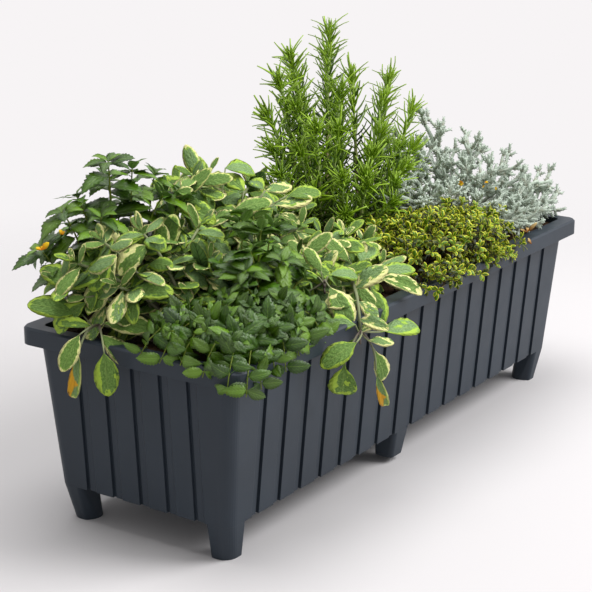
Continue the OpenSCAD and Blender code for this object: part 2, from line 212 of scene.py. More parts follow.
def rubber():
    finish = Finish("plug_rubber", Specular_IOR_Level=0.3)
    grain = finish.noise(finish.place(), 900.0, 2.0)
    finish.set(Base_Color=finish.mix(grain, srgb(28, 28, 29), srgb(42, 42, 43)),
               Roughness=0.7 + 0.15 * (grain - 0.5), Normal=finish.bump(grain, 0.1 * MM, 0.4))
    return finish.material


def earth(name, dark, light):
    finish = Finish(name, Specular_IOR_Level=0.15)
    place = finish.place()
    clods = finish.noise(place, 60.0, 6.0, 0.65)
    crumbs = finish.cells(place, 420.0)
    finish.set(Base_Color=finish.mix(clods.step(0.35, 0.7), dark, light), Roughness=0.95,
               Normal=finish.bump(crumbs, 1.0 * MM, 0.6, finish.bump(clods, 2 * MM, 0.6)))
    return finish.material


def twig(name, young, old):
    """A stem: old wood at its foot and young growth at its tip."""
    finish = Finish(name, Specular_IOR_Level=0.3)
    uv = finish.node("UVMap", uv_map=ATLAS)
    along = finish.node("SeparateXYZ", [uv]).sibling(1)
    spot = finish.noise(uv, 30.0, 3.0)
    bark = finish.noise(finish.place(), 500.0, 4.0)
    finish.set(Base_Color=finish.mix((along + 0.5 * (spot - 0.5)).step(0.15, 0.75), old, young),
               Roughness=0.6 + 0.2 * (bark - 0.5), Normal=finish.bump(bark, 0.4 * MM, 0.5))
    return finish.material


# rows of cells in the atlas of each kind of leaf, and the numbers of the cells at which
# the young sage and mint leaves, the young needles and the bright thyme leaves begin
SAGE_ROWS, MINT_ROWS, THYME_ROWS, NEEDLE_ROWS = 6, 6, 4, 4
YOUNG, YOUNG_NEEDLE, BRIGHT = 12, 8, 5


def sage_leaf():
    """Pebbled green heart in a ragged cream or lime margin, with painted shade in the creases between the
    pebbles; the underside is veined.
    """
    finish = Finish("sage_leaf", Sheen_Weight=0.04, Sheen_Roughness=0.5, Specular_IOR_Level=0.25)
    leaf = finish.leaf_map(SAGE_ROWS)
    edge = (1 - abs(leaf.across)).least((1 - leaf.along) * 3.2)
    blotch = finish.noise(leaf.spot, 1.7, 2.0, 0.5)
    ragged = finish.noise(leaf.spot, 8.0, 3.0, 0.6)
    pebble = finish.cells(leaf.spot, 11.0)
    wide = leaf.first.step(0.6, 0.68) * (blotch * 2.6 - 1.1 + 0.35 * leaf.across)
    reach = 0.24 + 0.5 * (blotch - 0.5) + 0.5 * (ragged - 0.5) + wide - edge
    margin, blend = reach.step(-0.03, 0.03), (reach + 0.16 * leaf.second).step(-0.03, 0.03)
    rib = (0.06 - abs(leaf.across)).step(-0.03, 0.04)
    vein = (leaf.along * 40 - abs(leaf.across) * 12).sine()
    heart = finish.mix(ragged.step(0.35, 0.65), srgb(98, 134, 54), srgb(130, 164, 80))
    heart = finish.mix(leaf.second.step(0.6, 0.75) * 0.6, heart, srgb(146, 176, 126))
    # painted shade: the sunken creases between the pebbles are darkened
    heart = finish.mix(pebble.step(0.3, 0.7) * 0.5, heart, srgb(68, 98, 38))
    lime = finish.mix(ragged, srgb(124, 170, 48), srgb(164, 204, 72))
    heart = finish.mix(blend * 0.8, heart, lime)
    heart = finish.mix(rib * 0.4, heart, srgb(140, 168, 84))
    pale = finish.mix(leaf.third.step(0.55, 0.65), srgb(242, 238, 164), srgb(166, 198, 66))
    pale = finish.mix(ragged.step(0.45, 0.75) * 0.5, pale, srgb(204, 214, 96))
    upper = finish.mix(margin, heart, pale)
    rust = leaf.spent * (1 + 0.8 * leaf.across - 3 * abs(leaf.along - 0.62) + blotch).step(1.1, 1.3)
    upper = finish.mix(rust * 0.9, upper, srgb(232, 168, 24))
    lower = finish.mix((vein.step(0.55, 0.9) * 0.6 + rib).least(1.0), srgb(104, 138, 78), srgb(46, 76, 32))
    lower = finish.mix((0.12 - edge).step(-0.02, 0.02), lower, srgb(172, 192, 84))
    finish.set(Base_Color=finish.mix(leaf.under, upper, lower), Roughness=0.55 + 0.15 * pebble,
               Normal=finish.bump(1 - pebble, 0.5 * MM, 0.8,
                                  finish.bump(vein * 0.4 - 1.5 * rib, 0.8 * MM, 0.4)))
    return finish.material


def mint_leaf():
    """Fresh green, quilted between herringbone veins, with a light shine."""
    finish = Finish("mint_leaf", Specular_IOR_Level=0.5)
    leaf = finish.leaf_map(MINT_ROWS)
    tint = finish.noise(leaf.spot, 3.0, 4.0, 0.6)
    vein = (leaf.along * 42 - abs(leaf.across) * 14).sine()
    line = vein.step(0.86, 1.0)
    rib = (0.045 - abs(leaf.across)).step(-0.02, 0.03)
    green = finish.mix(leaf.age.step(0.1, 0.8), srgb(82, 124, 10), srgb(38, 72, 4))
    green = finish.mix(tint.step(0.4, 0.75) * 0.6, green, srgb(74, 120, 14))
    green = finish.mix(leaf.first.step(0.3, 1.0) * 0.6, green, srgb(122, 162, 20))
    green = finish.mix(leaf.second.step(0.3, 0.9) * 0.7, green, srgb(26, 56, 6))
    green = finish.mix(line * 0.2 + rib * 0.4, green, srgb(140, 180, 70))
    green = finish.mix(leaf.under, green, finish.mix(line + rib, srgb(118, 156, 72), srgb(160, 188, 106)))
    finish.set(Base_Color=green, Roughness=0.24 + 0.2 * tint,
               Normal=finish.bump(-1.0 * vein - 1.6 * rib, 1.0 * MM, 0.15,
                                  finish.bump(finish.cells(leaf.spot, 16.0), 0.5 * MM, 0.45)))
    return finish.material


def rosemary_needle():
    """Narrow leathery leaf, bright while it is young and paler towards its tip."""
    finish = Finish("rosemary_needle", Specular_IOR_Level=0.35)
    leaf = finish.leaf_map(NEEDLE_ROWS)
    tint = finish.noise(leaf.spot, 4.0, 2.0)
    green = finish.mix(leaf.age.step(0.0, 1.0), srgb(144, 180, 36), srgb(66, 100, 12))
    green = finish.mix(leaf.first.step(0.5, 1.0) * 0.6, green, srgb(96, 132, 30))
    green = finish.mix(leaf.along.step(0.4, 1.0) * 0.25, green, srgb(170, 198, 84))
    green = finish.mix(leaf.second.step(0.6, 1.0) * 0.8, green, srgb(40, 68, 14))
    finish.set(Base_Color=green, Roughness=0.32 + 0.15 * tint)
    return finish.material


def silver_leaf():
    """Short lobes felted with silver hair; the lobes low on each branch are painted darker as the shade
    inside the bush.
    """
    finish = Finish("silver_leaf", Sheen_Weight=0.3, Sheen_Roughness=0.5, Specular_IOR_Level=0.15)
    leaf = finish.leaf_map(NEEDLE_ROWS)
    felt = finish.noise(finish.place(), 1100.0, 2.0)
    silver = finish.mix(leaf.first, srgb(164, 178, 162), srgb(198, 210, 196))
    # painted shade: the lobes low on each branch, inside the bush, are darkened
    silver = finish.mix(leaf.age.step(0.6, 1.0) * 0.6, silver, srgb(118, 136, 112))
    silver = finish.mix(felt.step(0.4, 0.7) * 0.45, silver, srgb(212, 220, 210))
    finish.set(Base_Color=silver, Roughness=0.85, Normal=finish.bump(felt, 0.4 * MM, 0.7))
    return finish.material


def thyme_leaf():
    """Tiny leaf edged with gold and bright at the tips; the lower, older leaves are painted near black as
    the shade inside the cushion.
    """
    finish = Finish("thyme_leaf", Specular_IOR_Level=0.35)
    leaf = finish.leaf_map(THYME_ROWS)
    edge = (1 - abs(leaf.across)).least((1 - leaf.along) * 2.5)
    warp = finish.noise(leaf.spot, 3.0, 2.0)
    margin = (0.2 + 0.4 * leaf.first + 0.5 * (warp - 0.5) - edge).step(-0.08, 0.08)
    # painted shade: the older, lower leaves and their gold edges darken to near black
    green = finish.mix(leaf.age.step(0.3, 0.8), srgb(88, 130, 16), srgb(12, 28, 6))
    gold = finish.mix(leaf.age.step(0.3, 0.8), srgb(216, 216, 60), srgb(30, 44, 12))
    finish.set(Base_Color=finish.mix(margin, green, gold), Roughness=0.42)
    return finish.material


def petal(name, pale, deep):
    """A spent petal or dry leaf: thin, streaked and dull."""
    finish = Finish(name, Specular_IOR_Level=0.2)
    leaf = finish.leaf_map(THYME_ROWS)
    streak = finish.noise(leaf.spot, 8.0, 3.0)
    finish.set(Base_Color=finish.mix((streak + leaf.along - 0.5).step(0.2, 0.8), deep, pale), Roughness=0.7,
               Normal=finish.bump(streak, 0.4 * MM, 0.5))
    return finish.material


# ---------------------------------------------------------------- leaf shapes

def arc(share, bend):
    """Place and direction on an arc of unit length that turns down by bend."""
    angle = bend * share
    if abs(bend) < 1e-4:
        return Vector((0, share, 0)), Vector((0, 0, 1))
    place = Vector((0, math.sin(angle) / bend, -(1 - math.cos(angle)) / bend))
    return place, Vector((0, math.sin(angle), math.cos(angle)))


def to_cell(faces, layer, cell, rows):
    """Fits the faces' own 0 to 1 map into one cell of the atlas."""
    corner = (cell % rows, cell // rows)
    for face in faces:
        for loop in face.loops:
            for axis in (0, 1):
                inside = 0.5 + (loop[layer].uv[axis] - 0.5) * CELL_FILL
                loop[layer].uv[axis] = (corner[axis] + inside) / rows


def blade(name, outline, across, along, bend, fold, wave, thick, cell, rows, phase=0.0, even=False):
    """A leaf of unit length along +Y: two skins shaped by its outline that meet at its
    edge, bent down the length and folded or rippled across it. The skin below takes its
    looks from the atlas's last row. Rows of points gather at the ends unless even."""
    bm = bmesh.new()
    layer = bm.loops.layers.uv.new(ATLAS)
    bmesh.ops.create_grid(bm, x_segments=across, y_segments=along, size=0.5)
    if not even:
        for vert in bm.verts:
            vert.co.y = 0.5 * math.sin(math.pi * vert.co.y)
    for face in bm.faces:
        for loop in face.loops:
            loop[layer].uv = (loop.vert.co.x + 0.5, loop.vert.co.y + 0.5)
    upper = bm.faces[:]
    under = bmesh.ops.duplicate(bm, geom=bm.verts[:] + bm.edges[:] + bm.faces[:])["geom"]
    under = {part for part in under if isinstance(part, bmesh.types.BMVert)}
    lower = [face for face in bm.faces if under.issuperset(face.verts)]
    to_cell(upper, layer, cell, rows)
    to_cell(lower, layer, rows * (rows - 1) + cell % rows, rows)
    for vert in bm.verts:
        side, share = 2 * vert.co.x, vert.co.y + 0.5
        half, shift = outline(share)
        spine, normal = arc(min(1.0, share + shift * abs(side)), bend)
        ripple = wave * math.sin(4 * math.pi * share + phase + (1 if side > 0 else 0))
        lift = half * (fold * abs(side) + ripple * side * side)
        if vert in under:
            lift -= thick * (1 - side * side) * min(1.0, 8 * share * (1 - share))
        vert.co = spine + Vector((side * half * math.cos(fold * side), 0, 0)) + normal * lift
    bmesh.ops.reverse_faces(bm, faces=lower)
    bmesh.ops.remove_doubles(bm, verts=bm.verts[:], dist=1e-6)
    bmesh.ops.recalc_face_normals(bm, faces=bm.faces[:])
    return finish_mesh(bm, name)


def finish_mesh(bm, name, smooth=True):
    mesh = bpy.data.meshes.new(name)
    for face in bm.faces:
        face.smooth = smooth
    bm.to_mesh(mesh)
    bm.free()
    return mesh


STALK = 0.018      # half the width of a leaf's stalk, as a share of the leaf's length


def stalked(width, stalk, fullest, blunt):
    """Outline of an oval leaf: a thin stalk, then a blade that is widest at fullest."""
    def outline(share):
        if share < stalk:
            return STALK, 0.0
        along = (share - stalk) / (1 - stalk)
        along = along ** (math.log(0.5) / math.log(fullest))
        return max(0.004, width / 2 * math.sin(math.pi * along) ** blunt), 0.0
    return outline


def toothed(width, stalk, fullest, blunt, teeth, depth):
    """The same with forward-pointing teeth."""
    smooth = stalked(width, stalk, fullest, blunt)
    def outline(share):
        half, _ = smooth(share)
        turn = (share * teeth) % 1.0
        notch = turn > 0.25 and turn < 0.75
        if share < stalk or not notch:
            return half, 0.0
        return half * (1 - depth), -0.25 / teeth
    return outline


def needle(width, bend, cell, sections, blunt):
    """A needle of unit length: a flat prism drawn out, tapered and bent."""
    bm = bmesh.new()
    layer = bm.loops.layers.uv.new(ATLAS)
    ring = bmesh.ops.create_circle(bm, cap_ends=True, segments=3, radius=width / 2,
                                   matrix=Matrix.Rotation(math.radians(-90), 4, "X"))
    cap = ring["verts"][0].link_faces[0]
    for _ in range(sections):
        drawn = bmesh.ops.extrude_discrete_faces(bm, faces=[cap])["faces"]
        cap = drawn[0]
        bmesh.ops.translate(bm, vec=(0, 1 / sections, 0), verts=cap.verts)
    bm.normal_update()
    for face in bm.faces:
        for loop in face.loops:
            co = loop.vert.co
            loop[layer].uv = (0.5 + co.x / width, min(1, max(0, co.y)))
    for vert in bm.verts:
        share = vert.co.y
        slim = (0.55 + 0.45 * math.sin(math.pi * min(share + 0.2, 1) ** 0.8)
                if share < 0.98 else blunt)
        spine, normal = arc(share, bend)
        vert.co = spine + Vector((vert.co.x * slim, 0, 0)) + normal * (vert.co.z * slim * 0.55)
    bmesh.ops.recalc_face_normals(bm, faces=bm.faces[:])
    to_cell(bm.faces, layer, cell, NEEDLE_ROWS)
    return finish_mesh(bm, "needle")


def rod():
    """A straight stem of unit length and radius along +Z, to be bent along a path."""
    rings = 7
    bm = bmesh.new()
    layer = bm.loops.layers.uv.new(ATLAS)
    bmesh.ops.create_cone(bm, cap_ends=True, segments=6, radius1=1, radius2=1, depth=1)
    bmesh.ops.translate(bm, vec=(0, 0, 0.5), verts=bm.verts[:])
    for i in range(1, rings):
        bmesh.ops.bisect_plane(bm, geom=bm.verts[:] + bm.edges[:] + bm.faces[:],
                               plane_co=(0, 0, i / rings), plane_no=(0, 0, 1))
    for face in bm.faces:
        centre = face.calc_center_median()
        middle = math.atan2(centre.y, centre.x) / math.tau % 1
        for loop in face.loops:
            turn = math.atan2(loop.vert.co.y, loop.vert.co.x) / math.tau % 1
            if turn - middle > 0.5:
                turn -= 1
            if middle - turn > 0.5:
                turn += 1
            loop[layer].uv = (min(1, max(0, turn)), loop.vert.co.z)
    return finish_mesh(bm, "rod")


ROD = rod()

# ---------------------------------------------------------------- growing

class Path:
    """A stem's curve: it leaves base towards knee and ends at tip."""

    def __init__(self, base, knee, tip):
        self.base, self.knee, self.tip = base, knee, tip
        self.length = (knee - base).length * 0.5 + (tip - knee).length * 0.5 + (tip - base).length * 0.5

    def at(self, share):
        first = self.base.lerp(self.knee, share)
        return first.lerp(self.knee.lerp(self.tip, share), share)

    def along(self, share):
        way = (self.knee - self.base).lerp(self.tip - self.knee, share)
        return way.normalized()


def rising(base, tip, lean=0.35):
    """A stem that rises before it leans out to its tip."""
    knee = base.lerp(tip, lean)
    knee.z = base.z + (tip.z - base.z) * 0.75 if tip.z > base.z else max(base.z, tip.z) + 25 * MM
    return Path(base, knee, tip)


def added(name, data):
    """A new object in the scene."""
    thing = bpy.data.objects.new(name, data)
    scene.collection.objects.link(thing)
    return thing


class Plant:
    """Collects the leaves and stems of one herb, then makes its pieces."""

    def __init__(self, name, seed):
        self.name = name
        self.dice = random.Random(seed)
        self.leaves = bmesh.new()
        self.stems = bmesh.new()

    def spread(self, amount):
        return self.dice.uniform(-amount, amount)

    def foot(self, reach):
        """A place in the soil near the middle of the herb."""
        angle = self.dice.uniform(0, math.tau)
        away = reach * math.sqrt(self.dice.random())
        return root(self.name) + Vector((away * math.cos(angle), away * math.sin(angle), -3 * MM))

    def rise(self, tip, reach, share, lean=0.35):
        """A path out of the soil whose foot stands some share of the way to its tip."""
        base = self.foot(reach)
        return rising(base.lerp(Vector((tip.x, tip.y, base.z)), share), tip, lean)

    def leaf(self, shape, at, along, face, size, width):
        """Sets one leaf: it grows along, and its upper side looks to face."""
        long = along.normalized()
        side = long.cross(face)
        if side.length < 1e-3:
            side = long.orthogonal()
        side.normalize()
        up = side.cross(long)
        turn = Matrix((side * size * width, long * size, up * size)).transposed().to_4x4()
        turn.translation = at
        copy = shape.copy()
        copy.transform(turn)
        self.leaves.from_mesh(copy)
        bpy.data.meshes.remove(copy)

    def stem(self, path, thick, thin):
        """Bends a straight rod along the path, tapering from thick to thin."""
        copy = ROD.copy()
        co = np.empty(len(copy.vertices) * 3)
        copy.vertices.foreach_get("co", co)
        for i, (x, y, share) in enumerate(co.reshape(-1, 3).tolist()):
            way = path.along(share)
            side = way.orthogonal().normalized() if abs(way.z) > 0.99 else way.cross(UP).normalized()
            radius = thick + (thin - thick) * share
            co[3 * i:3 * i + 3] = path.at(share) + radius * (x * side + y * way.cross(side))
        copy.vertices.foreach_set("co", co)
        self.stems.from_mesh(copy)
        bpy.data.meshes.remove(copy)

    def pieces(self, node, leaf_slot, leaf_finish, stem_finish):
        """Makes the foliage and the stems into pieces that stand for the node."""
        foliage = piece(f"{self.name}_leaves", self.leaves, leaf_finish)
        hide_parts(node)
        piece(f"{self.name}_stems", self.stems, stem_finish)


def piece(name, bm, finish):
    """A piece that stands with the trough; scraps have no slot of their own."""
    thing = added(name, finish_mesh(bm, name))
    thing.data.materials.append(finish)
    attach(thing, BODY)
    return thing


def around(way, angle):
    """A direction square to way, turned about it."""
    side = way.orthogonal().normalized() if abs(way.z) > 0.95 else way.cross(UP).normalized()
    return Matrix.Rotation(angle, 3, way) @ side


def leafy(plant, path, nodes, shapes, size, pitch, start, light, per_node=2,
          twist=math.pi / 2, outward=0.4, jitter=0.25):
    """Sets leaves in whorls along a path, from the oldest shapes to the youngest. size
    and pitch are functions of the share of the way to the tip; light turns the leaves'
    faces to the sky and outward."""
    dice = plant.dice
    turn = dice.uniform(0, math.tau)
    for i in range(nodes):
        share = start + (1 - start) * (i + 0.5) / nodes
        at, way = path.at(share), path.along(share)
        turn += twist
        for k in range(per_node):
            angle = turn + k * math.tau / per_node + plant.spread(jitter)
            out = around(way, angle)
            tilt = pitch(share) + plant.spread(jitter)
            grow = out * math.cos(tilt) + way * math.sin(tilt)
            face = way * (1 - light) + (UP + outward * OUTWARD) * light
            age = min(0.999, max(0, share + plant.spread(0.35)))
            plant.leaf(shapes[int(age * len(shapes))], at, grow, face,
                       size(share) * dice.uniform(0.82, 1.15), dice.uniform(0.88, 1.1))


# ---------------------------------------------------------------- places

def root(node):
    """Top centre of a herb's root ball."""
    low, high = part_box("rootball_" + node)
    return Vector(((low.x + high.x) / 2, (low.y + high.y) / 2, high.z))


def heading(bearing, rise):
    """Direction from its bearing from +X and its rise, in degrees."""
    bearing, rise = math.radians(bearing), math.radians(rise)
    return Vector((math.cos(bearing) * math.cos(rise), math.sin(bearing) * math.cos(rise), math.sin(rise)))


RIM_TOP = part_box("rim")[1].z
CLIMB = 70 * MM    # height of a hanging stem's knee above the rim


def over_rim(base, tip):
    """A stem that climbs over the rim before it hangs."""
    knee = base.lerp(tip, 0.72)
    knee.z = RIM_TOP + CLIMB
    return Path(base, knee, tip)


# ---------------------------------------------------------------- herbs

SAGE_WIDTH = 0.42  # width of the slimmest sage leaf, as a share of its length


def sage_shapes():
    dice = random.Random(3)
    shapes = []
    for cell in range(SAGE_ROWS * (SAGE_ROWS - 1)):
        outline = stalked(dice.uniform(SAGE_WIDTH, 0.5), dice.uniform(0.06, 0.12),
                          dice.uniform(0.48, 0.56), 0.55)
        shapes.append(blade("sage_blade", outline, 4, 9, dice.uniform(-0.1, 0.9), dice.uniform(-0.2, 0.35),
                            dice.uniform(0.0, 0.12), 0.008, cell, SAGE_ROWS, dice.uniform(0, 6)))
    return shapes


def mint_shapes():
    dice = random.Random(5)
    shapes = []
    for cell in range(MINT_ROWS * (MINT_ROWS - 1)):
        outline = toothed(dice.uniform(0.5, 0.62), 0.06, dice.uniform(0.36, 0.44), 0.78, 9,
                          dice.uniform(0.12, 0.18))
        shapes.append(blade("mint_blade", outline, 3, 18, dice.uniform(0.3, 1.3), dice.uniform(-0.1, 0.4),
                            dice.uniform(0.03, 0.12), 0.009, cell, MINT_ROWS, dice.uniform(0, 6),
                            even=True))
    return shapes


def needle_shapes(width, bends, seed, sections, blunt):
    dice = random.Random(seed)
    return [needle(width * dice.uniform(0.85, 1.2), dice.uniform(*bends), cell, sections, blunt)
            for cell in range(NEEDLE_ROWS * NEEDLE_ROWS)]


def thyme_shapes():
    dice = random.Random(8)
    outline = stalked(0.54, 0.1, 0.5, 0.7)
    return [blade("thyme_blade", outline, 2, 4, dice.uniform(0.0, 0.9), dice.uniform(0.0, 0.4), 0.0,
                  0.03, cell, THYME_ROWS) for cell in range(THYME_ROWS * (THYME_ROWS - 1))]


def dome_tips(middle, count, reach, rise, droop):
    """Tips spread over a dome by the golden angle, lower towards its edge."""
    tips = []
    for i in range(count):
        out = math.sqrt((i + 0.3) / count)
        angle = GOLDEN * i
        tips.append(middle + Vector((reach[0] * out * math.cos(angle), reach[1] * out * math.sin(angle),
                                     rise * (1 - droop * out * out))))
    return tips


def spray(plant, centre, rows, shapes, first=0):
    """Leaves set one by one, each joined to the centre by its stalk. A row: start from
    the centre (mm), bearing and rise (degrees), length and width (mm). Their shapes are
    taken seven apart, from the first on."""
    for i, (start, bearing, rise, length, width) in enumerate(rows):
        start, way = centre + mm(*start), heading(bearing, rise)
        plant.leaf(shapes[(first + 7 * i) % (len(shapes) - 1)], start, way, UP + 0.9 * OUTWARD,
                   1.05 * length * MM, width / length / SAGE_WIDTH)
        away = start - centre
        low = centre - UP * max(0, 1.6 * away.z)
        knee = low.lerp(start, 0.5) - way * 0.2 * away.length
        plant.stem(Path(low, knee, start + way * MM), 1.4 * MM, 0.9 * MM)


# a rosette's pairs from the outermost in: share of its size, rise (radians) and width
PAIRS = ((1.0, -0.3, 1.1), (0.86, 0.0, 1.05), (0.62, 0.45, 0.95), (0.45, 1.0, 0.8))


def rosette(plant, centre, way, shapes, size):
    """Crossed pairs of leaves round a shoot's end, smaller and steeper inward."""
    dice = plant.dice
    turn = dice.uniform(0, math.tau)
    for pair, (share, rise, narrow) in enumerate(PAIRS):
        for side in (0, math.pi):
            out = around(way, turn + side + plant.spread(0.25))
            tilt = rise + plant.spread(0.2)
            grow = out * math.cos(tilt) + way * math.sin(tilt)
            start = centre + way * (pair - 2) * 5 * MM
            plant.leaf(dice.choice(shapes[:-1]), start, grow, 0.3 * way + 0.8 * UP + 0.8 * OUTWARD,
                       size * share * dice.uniform(0.88, 1.1), narrow * dice.uniform(0.9, 1.15))
        turn += math.pi / 2


def sage_shoot(plant, tip, shapes, size):
    """A woody stem with a pair or two of leaves below its rosette."""
    path = rising(plant.foot(24 * MM), tip)
    plant.stem(path, 2.8 * MM, 1.6 * MM)
    leafy(plant, path, 2, shapes[:-1], lambda s: size * (1.05 - 0.15 * s), lambda s: -0.2 + 0.2 * s,
          start=0.45, light=0.7)
    rosette(plant, tip, path.along(1.0).lerp(UP, 0.4).normalized(), shapes, size)


# the leaves of the sprays that stand out of the sage, in the rows that spray() takes
LEFT_HIGH = [
    ((5, -25, -10), -75, -20, 46, 25), ((-10, -5, -10), 190, -45, 42, 27),
    ((-40, 15, 5), 190, -55, 40, 25), ((5, -10, 0), -65, -25, 44, 20), ((-5, 10, 5), 105, 25, 50, 22),
    ((-10, 5, 0), 165, 5, 30, 14), ((5, 0, 10), -25, 55, 32, 14), ((15, -15, 5), -45, -10, 52, 24),
    ((5, -5, 5), -50, 25, 30, 15), ((0, 25, 25), -10, 25, 44, 22), ((25, -20, 20), 5, 85, 36, 18),
    ((30, -20, 20), -35, 75, 46, 24), ((-5, 20, 20), 95, 60, 44, 24), ((0, -20, 15), -100, 20, 34, 18)]
LEFT_OUTER = [
    ((-5, 10, 5), 110, 30, 60, 27), ((-5, 5, -5), 135, -30, 55, 26), ((-10, 5, 0), 150, 5, 22, 10),
    ((5, -5, 5), -55, 35, 24, 12), ((20, 5, 10), 90, 30, 38, 16)]
LEFT_LOW = [
    ((-5, 20, 10), 130, 20, 62, 28), ((-10, 0, 0), 140, 20, 40, 13), ((-5, -10, 5), -70, 5, 54, 24),
    ((-15, -15, -5), -90, -25, 52, 24), ((-40, -40, -15), -90, -85, 48, 26),
    ((-40, -5, 0), 170, -50, 44, 20)]
CENTRE_HIGH = [
    ((-5, 30, 35), 115, 70, 50, 20), ((-10, 30, 30), 50, 85, 40, 18), ((-15, 30, 20), 140, 5, 44, 20),
    ((-5, 40, 30), 120, 10, 56, 24), ((-10, 5, 5), 145, 15, 40, 18), ((-5, 10, 5), 125, 60, 30, 14),
    ((5, -10, 5), -45, 20, 50, 23), ((30, -10, 25), 80, 30, 44, 22), ((30, 20, 50), -30, 5, 50, 23),
    ((45, -30, 25), 70, 25, 34, 16), ((45, -30, 25), -20, 5, 40, 18), ((40, -45, 10), -45, 10, 48, 21),
    ((55, -55, 20), -40, 10, 46, 21), ((30, -55, 10), 160, -20, 28, 14), ((10, -15, -5), -50, 15, 36, 16),
    ((-5, -10, -5), -95, -20, 40, 20)]
FRONT_LEFT = [
    ((-5, -10, -5), -110, -35, 52, 27), ((5, 0, 5), -30, -30, 24, 12), ((0, 5, 10), 115, 60, 34, 16),
    ((-5, 5, 5), 140, 20, 38, 14), ((10, 0, 5), -30, 5, 50, 19), ((30, 0, -15), -20, 15, 34, 15),
    ((-20, 20, -15), 165, 20, 50, 25)]
FRONT_RIGHT = [
    ((-10, -5, -5), -135, -30, 54, 26), ((10, 0, 0), -70, -5, 60, 22), ((-5, 5, 0), 140, 30, 24, 16),
    ((20, 5, 5), -35, 0, 52, 20), ((25, 15, 0), -30, 20, 50, 15), ((15, 25, 10), 10, 35, 46, 28),
    ((0, 30, 15), 150, 50, 48, 21)]
FRONT_LOW = [
    ((-10, 0, 10), 130, 10, 54, 25), ((35, -5, -10), -30, 5, 58, 23), ((0, -10, -10), -30, -10, 36, 13),
    ((-5, -5, 0), -5, 25, 26, 12), ((-40, -20, 0), 160, -15, 50, 27), ((-50, -10, -25), 110, -85, 46, 30),
    ((25, -5, -30), -30, -65, 48, 20)]


def spent_leaf(plant, shapes, path, way, length, width):
    """The spent leaf, hanging from the end of a stem of its own."""
    plant.stem(path, 1.6 * MM, 1.2 * MM)
    plant.leaf(shapes[-1], path.tip, way, OUTWARD, length, width)


def sage_crown(plant, shapes, size, *tips):
    """Shoots to the tips, given in millimetres; the herb is whole with them."""
    for tip in places(*tips):
        sage_shoot(plant, tip, shapes, size)
    plant.pieces(plant.name, "sage_leaf", SAGE_LEAF, SAGE_TWIG)


def grow_sage_left(shapes):
    plant = Plant("sage_left", 11)
    centres = places((-350, 42, 304), (-400, 58, 288), (-404, 50, 256))
    for centre, rows in zip(centres, (LEFT_HIGH, LEFT_OUTER, LEFT_LOW)):
        plant.stem(rising(plant.foot(20 * MM), centre), 2.8 * MM, 1.8 * MM)
        spray(plant, centre, rows, shapes)
    spent_leaf(plant, shapes, Path(centres[-1], mm(-430, 48, 262), mm(-444, 45, 240)),
               heading(150, -78), 74 * MM, 0.5)
    sage_crown(plant, shapes, 52 * MM, (-310, 0, 326), (-300, -30, 306), (-270, 10, 345), (-330, 60, 336),
               (-280, 40, 330), (-335, 0, 300), (-325, 40, 316), (-340, -30, 280), (-290, -20, 312),
               (-366, 80, 290), (-350, 20, 276), (-310, 70, 320), (-375, 40, 270), (-400, 82, 322),
               (-378, 60, 344), (-410, 100, 300), (-345, 30, 352), (-390, 30, 300))


def grow_sage_centre(shapes):
    plant = Plant("sage_centre", 12)
    centre = mm(-178, 40, 340)
    plant.stem(rising(plant.foot(20 * MM), centre), 3 * MM, 2 * MM)
    spray(plant, centre, CENTRE_HIGH, shapes, 3)
    sage_crown(plant, shapes, 56 * MM, (-200, 68, 384), (-240, 75, 370), (-140, 90, 374), (-100, 60, 356),
               (-60, 80, 348), (-150, 0, 322), (-105, 10, 330), (-40, 30, 318), (-228, 30, 336),
               (-165, 120, 360), (-90, -10, 312), (-110, 130, 345), (-190, 0, 318), (-30, 80, 310),
               (-170, 30, 322), (-200, 90, 330), (-130, 60, 330), (-80, 40, 300))


def grow_sage_front(shapes):
    plant = Plant("sage_front", 13)
    centres = places((-185, -112, 282), (-105, -128, 268))
    for centre, rows, first in zip(centres, (FRONT_LEFT, FRONT_RIGHT), (2, 4)):
        plant.stem(rising(plant.foot(20 * MM), centre), 2.8 * MM, 1.8 * MM)
        spray(plant, centre, rows, shapes, first)
    centre = mm(-188, -164, 230)
    climbing = over_rim(plant.foot(15 * MM), centre)
    plant.stem(climbing, 2.6 * MM, 1.8 * MM)
    leafy(plant, climbing, 4, shapes[YOUNG:-1], lambda s: 44 * MM, lambda s: 0.3, start=0.35, light=0.8,
          outward=1.0)
    spray(plant, centre, FRONT_LOW, shapes, 1)
    spent_leaf(plant, shapes, Path(centre, mm(-170, -176, 210), mm(-162, -170, 176)),
               heading(-35, -75), 70 * MM, 0.48)
    sage_crown(plant, shapes, 52 * MM, (-175, -70, 304), (-60, -60, 296), (-40, -100, 262),
               (-95, -50, 306), (-15, -60, 280), (-145, -60, 300), (-130, -90, 276), (-80, -90, 272),
               (-180, -90, 274), (-30, -40, 290))


def mint_sprig(plant, path, shapes, largest, smallest, outward):
    """A square stem with crossed pairs of leaves that shrink to a whorled tip."""
    plant.stem(path, 1.6 * MM, 0.8 * MM)
    nodes = max(3, int(path.length / (24 * MM)))
    leafy(plant, path, nodes, shapes[:-1], lambda s: largest + (smallest - largest) * s ** 1.5,
          lambda s: -0.1 + 0.5 * s, start=0.2, light=0.6, outward=outward, jitter=0.35)
    leafy(plant, Path(path.at(0.95), path.at(0.98), path.tip), 3, shapes[YOUNG:-1],
          lambda s: smallest * (0.95 - 0.45 * s), lambda s: 0.15 + 0.9 * s, start=0.1, light=0.25)


